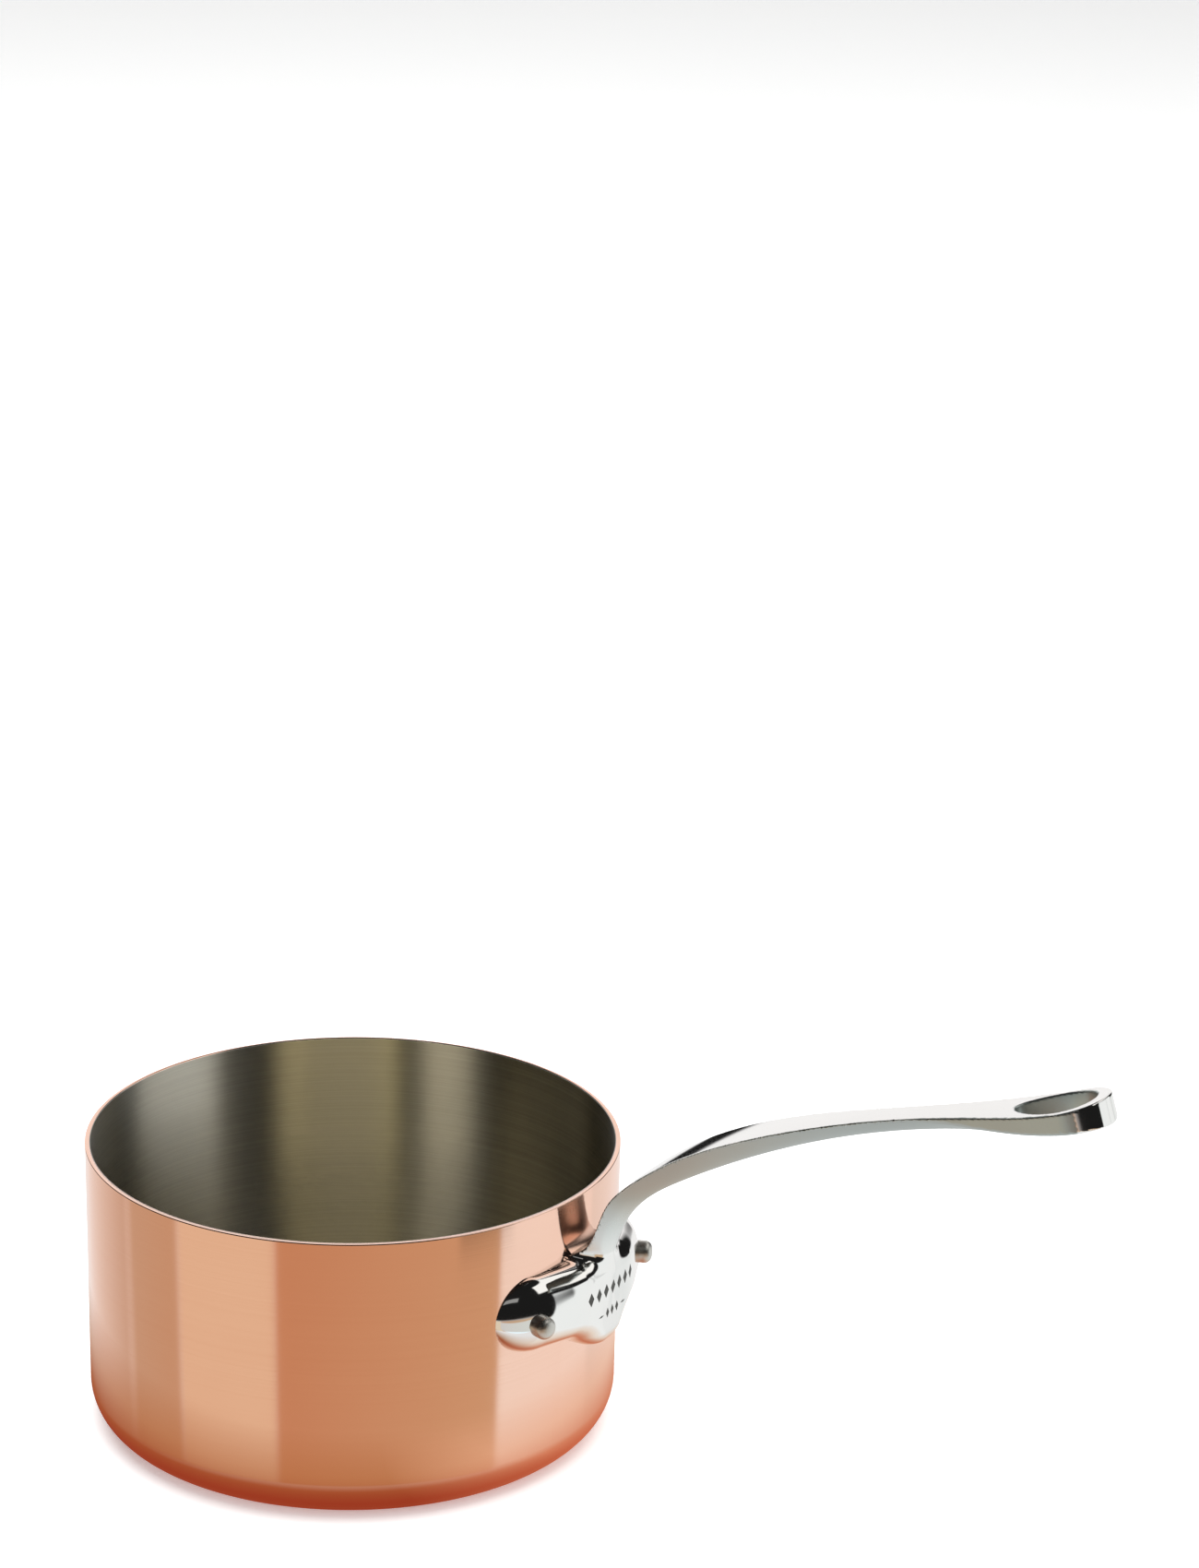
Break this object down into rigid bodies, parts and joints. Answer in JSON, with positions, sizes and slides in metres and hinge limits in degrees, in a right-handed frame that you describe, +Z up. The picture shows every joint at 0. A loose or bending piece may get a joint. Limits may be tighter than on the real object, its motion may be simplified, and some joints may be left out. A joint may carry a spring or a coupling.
{
  "type": "saucepan",
  "caption": "Copper saucepan with a bonded steel lining and a long curved cast steel handle that ends in a hanging loop, riveted to the wall.",
  "frame": {"origin": "centre of the base on the surface the pan stands on", "axes": "+Z up along the pan's axis, +X along the handle, +Y to the left when looking from the pan towards the handle's tip"},
  "size_m": [0.3621, 0.18, 0.1708],
  "materials": {
    "copper": "polished",
    "lining_steel": "brushed",
    "handle_steel": "polished",
    "rivet_steel": "satin"
  },
  "bodies": {
    "root": {"copper_body": "copper", "steel_lining": "lining_steel", "handle": "handle_steel", "rivet_left": "rivet_steel", "rivet_right": "rivet_steel"}
  },
  "joints": []
}
